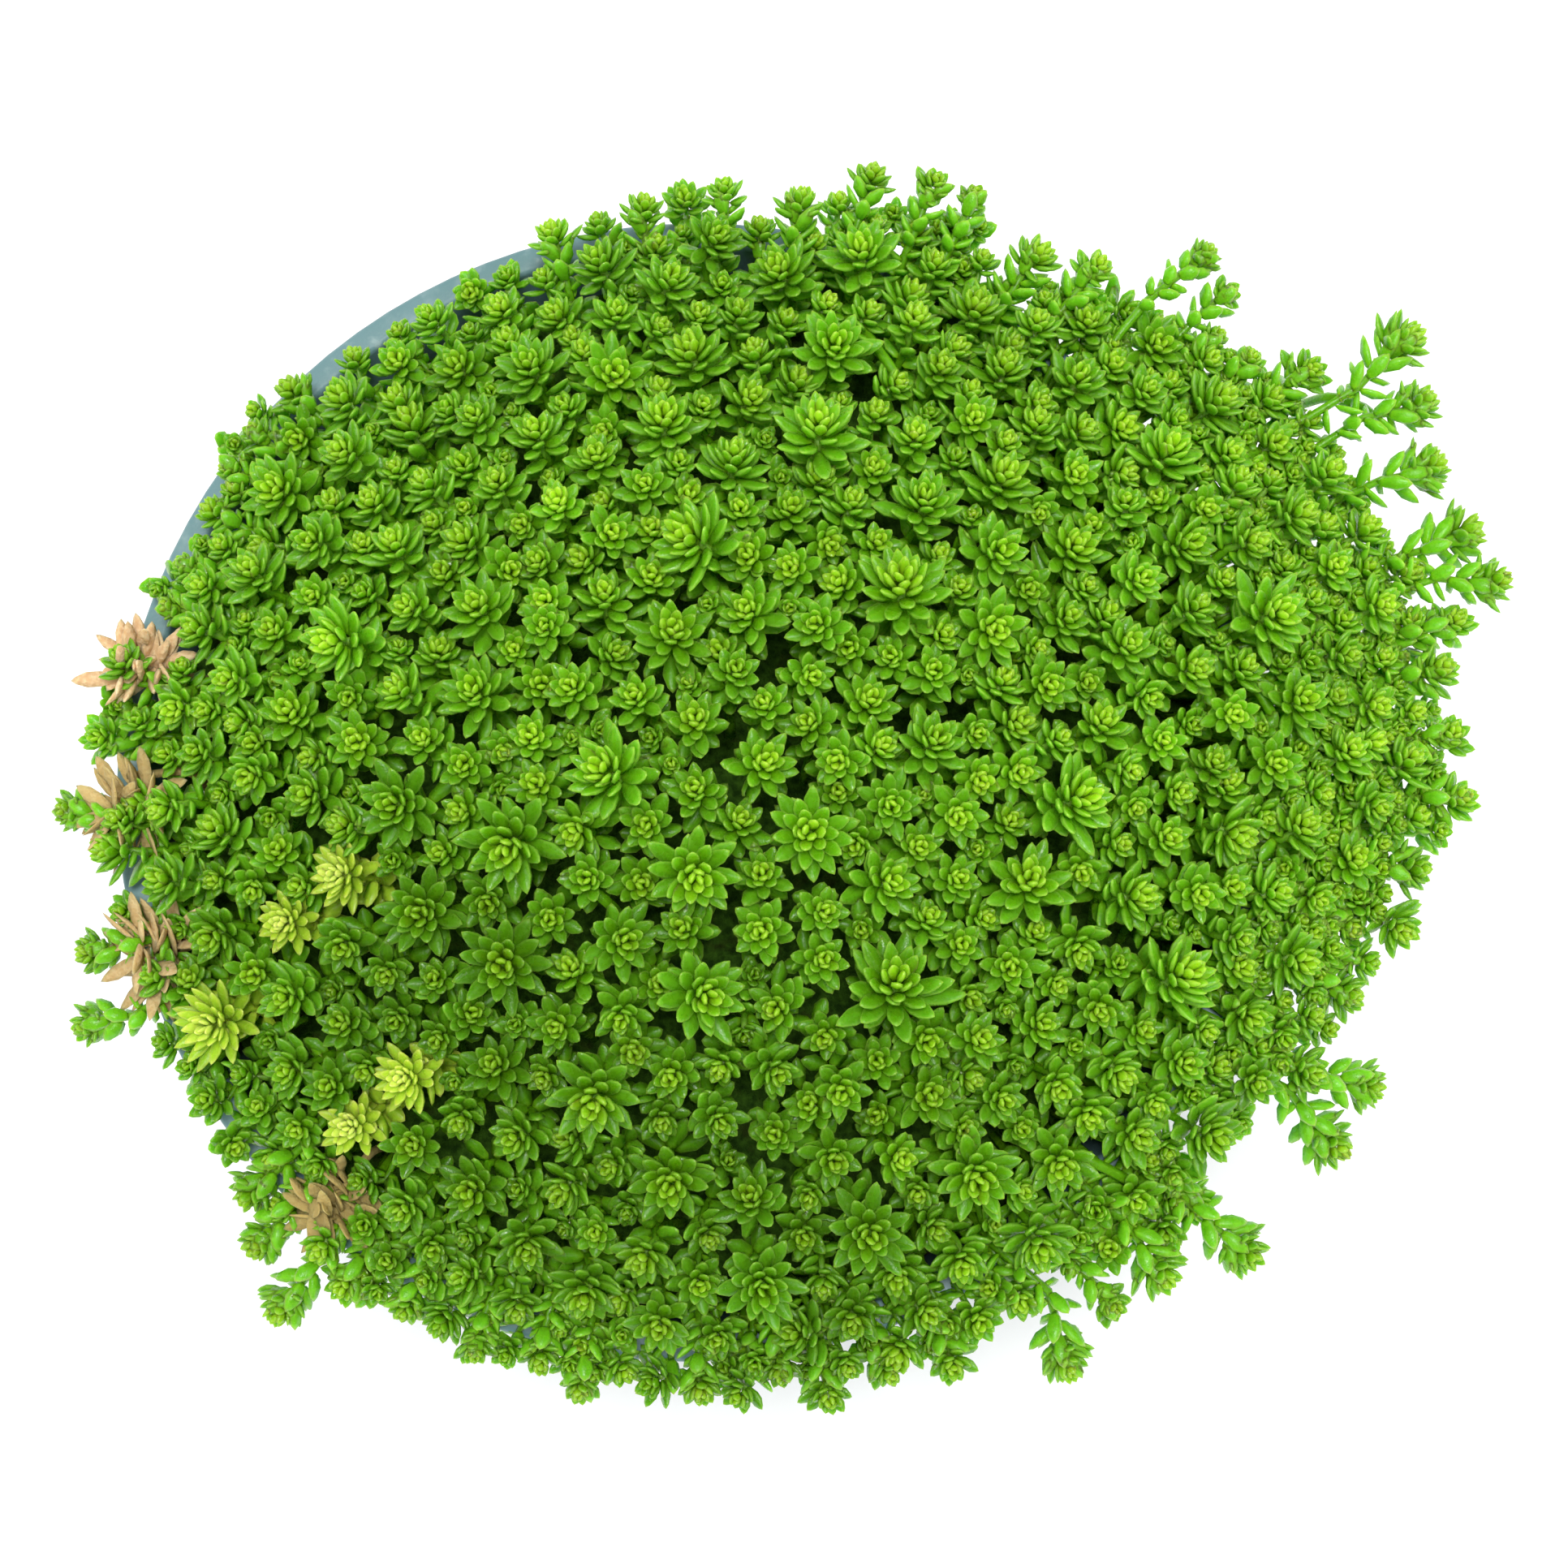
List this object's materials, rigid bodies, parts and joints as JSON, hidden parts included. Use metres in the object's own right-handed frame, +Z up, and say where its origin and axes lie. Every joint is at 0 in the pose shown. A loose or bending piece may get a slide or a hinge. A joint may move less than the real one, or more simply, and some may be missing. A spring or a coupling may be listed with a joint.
{
  "type": "potted goldmoss stonecrop",
  "caption": "Low mat-forming succulent with small fleshy rosettes, growing over the rim of a round tapered plastic nursery pot.",
  "frame": {"origin": "middle of the pot's flat foot, on the pot's axis", "axes": "+Z up along the pot's axis; +X towards the side where the plant spills furthest over the rim; -Y towards the viewer"},
  "size_m": [0.1933, 0.1633, 0.1438],
  "materials": {
    "pot": "moulded slate-teal plastic, satin, a little brighter on the rim",
    "soil": "damp dark brown potting soil, crumbly and dull",
    "green_leaf": "smooth fleshy leaves with small soft highlights, brighter yellow-green in the buds",
    "yellow_leaf": "smooth fleshy yellow-green leaves",
    "withered_leaf": "thin dry tan leaves, dull"
  },
  "bodies": {
    "root": {"pot": "pot", "soil": "soil", "tuft_01": "green_leaf", "tuft_02": "green_leaf", "tuft_03": "green_leaf", "tuft_04": "green_leaf", "tuft_05": "green_leaf", "tuft_06": "green_leaf", "tuft_07": "green_leaf", "tuft_08": "green_leaf", "tuft_09": "green_leaf", "tuft_10": "green_leaf", "tuft_11": "green_leaf", "tuft_12": "green_leaf", "tuft_13": "green_leaf", "tuft_14": "green_leaf", "tuft_15": "green_leaf", "tuft_16": "green_leaf", "tuft_17": "green_leaf", "tuft_18": "green_leaf", "tuft_19": "green_leaf", "tuft_20": "green_leaf", "tuft_21": "green_leaf", "tuft_22": "green_leaf", "tuft_23": "green_leaf", "tuft_24": "green_leaf", "tuft_25": "green_leaf", "tuft_26": "green_leaf", "tuft_27": "green_leaf", "tuft_28": "green_leaf", "tuft_29": "green_leaf", "tuft_30": "green_leaf", "tuft_31": "green_leaf", "tuft_32": "green_leaf", "tuft_33": "green_leaf", "tuft_34": "green_leaf", "tuft_35": "green_leaf", "tuft_36": "green_leaf", "tuft_37": "green_leaf", "yellow_tuft_01": "yellow_leaf", "yellow_tuft_02": "yellow_leaf", "yellow_tuft_03": "yellow_leaf", "withered_tuft_01": "withered_leaf", "withered_tuft_02": "withered_leaf", "withered_tuft_03": "withered_leaf", "withered_tuft_04": "withered_leaf"}
  },
  "joints": []
}
